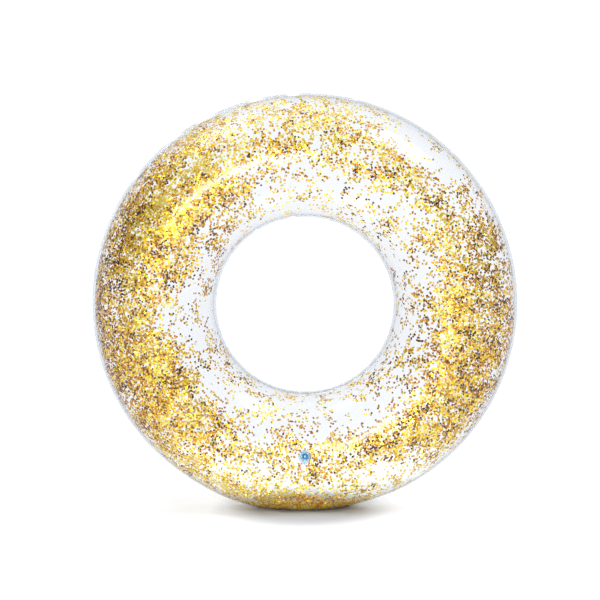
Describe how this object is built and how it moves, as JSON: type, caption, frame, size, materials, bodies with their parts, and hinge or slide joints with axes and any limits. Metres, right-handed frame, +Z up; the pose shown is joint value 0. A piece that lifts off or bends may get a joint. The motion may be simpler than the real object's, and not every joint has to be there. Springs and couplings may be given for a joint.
{
  "type": "inflatable pool float",
  "caption": "Inflatable swim ring of clear film with loose gold glitter inside and a push-in air valve with a tethered cap, standing on its edge.",
  "frame": {"origin": "middle of the footprint on the floor, straight below the middle of the ring, which stands on its edge", "axes": "+X across the ring to the right as seen from the valve's side, +Y along the ring's axis from the valve's side to the back, +Z up"},
  "size_m": [0.9099, 0.26, 0.893],
  "materials": {
    "clear_film": "gloss",
    "clear_flange": "gloss",
    "pale_blue_vinyl": "satin",
    "blue_vinyl": "satin",
    "deep_blue_vinyl": "satin",
    "gold_glitter": "gloss"
  },
  "bodies": {
    "ring": {"front_skin": "clear_film", "back_skin": "clear_film", "valve_flange": "clear_flange", "valve_neck": "pale_blue_vinyl", "glitter_on_front_skin": "gold_glitter", "glitter_on_back_skin": "gold_glitter", "glitter_settled": "gold_glitter"},
    "stem": {"valve_stem": "pale_blue_vinyl", "strap_collar": "blue_vinyl"},
    "cap": {"valve_cap": "deep_blue_vinyl", "cap_strap": "blue_vinyl"},
    "flap": {"check_flap": "pale_blue_vinyl"}
  },
  "joints": [
    {"name": "stem_push", "type": "slide", "parent": "ring", "child": "stem", "axis": [0, -0.9903, 0.1392], "range_m": [0, 0.01], "deforming": ["valve_neck"]},
    {"name": "cap_swing", "type": "hinge", "parent": "stem", "child": "cap", "pos_m": [0, -0.13104, 0.12079], "axis": [1, 0, 0], "range_deg": [0, 180]},
    {"name": "flap_swing", "type": "hinge", "parent": "stem", "child": "flap", "pos_m": [0, -0.11207, 0.13792], "axis": [1, 0, 0], "range_deg": [0, 65], "stiffness_Nm_per_rad": 0.0001, "springref_deg": -11.46}
  ]
}
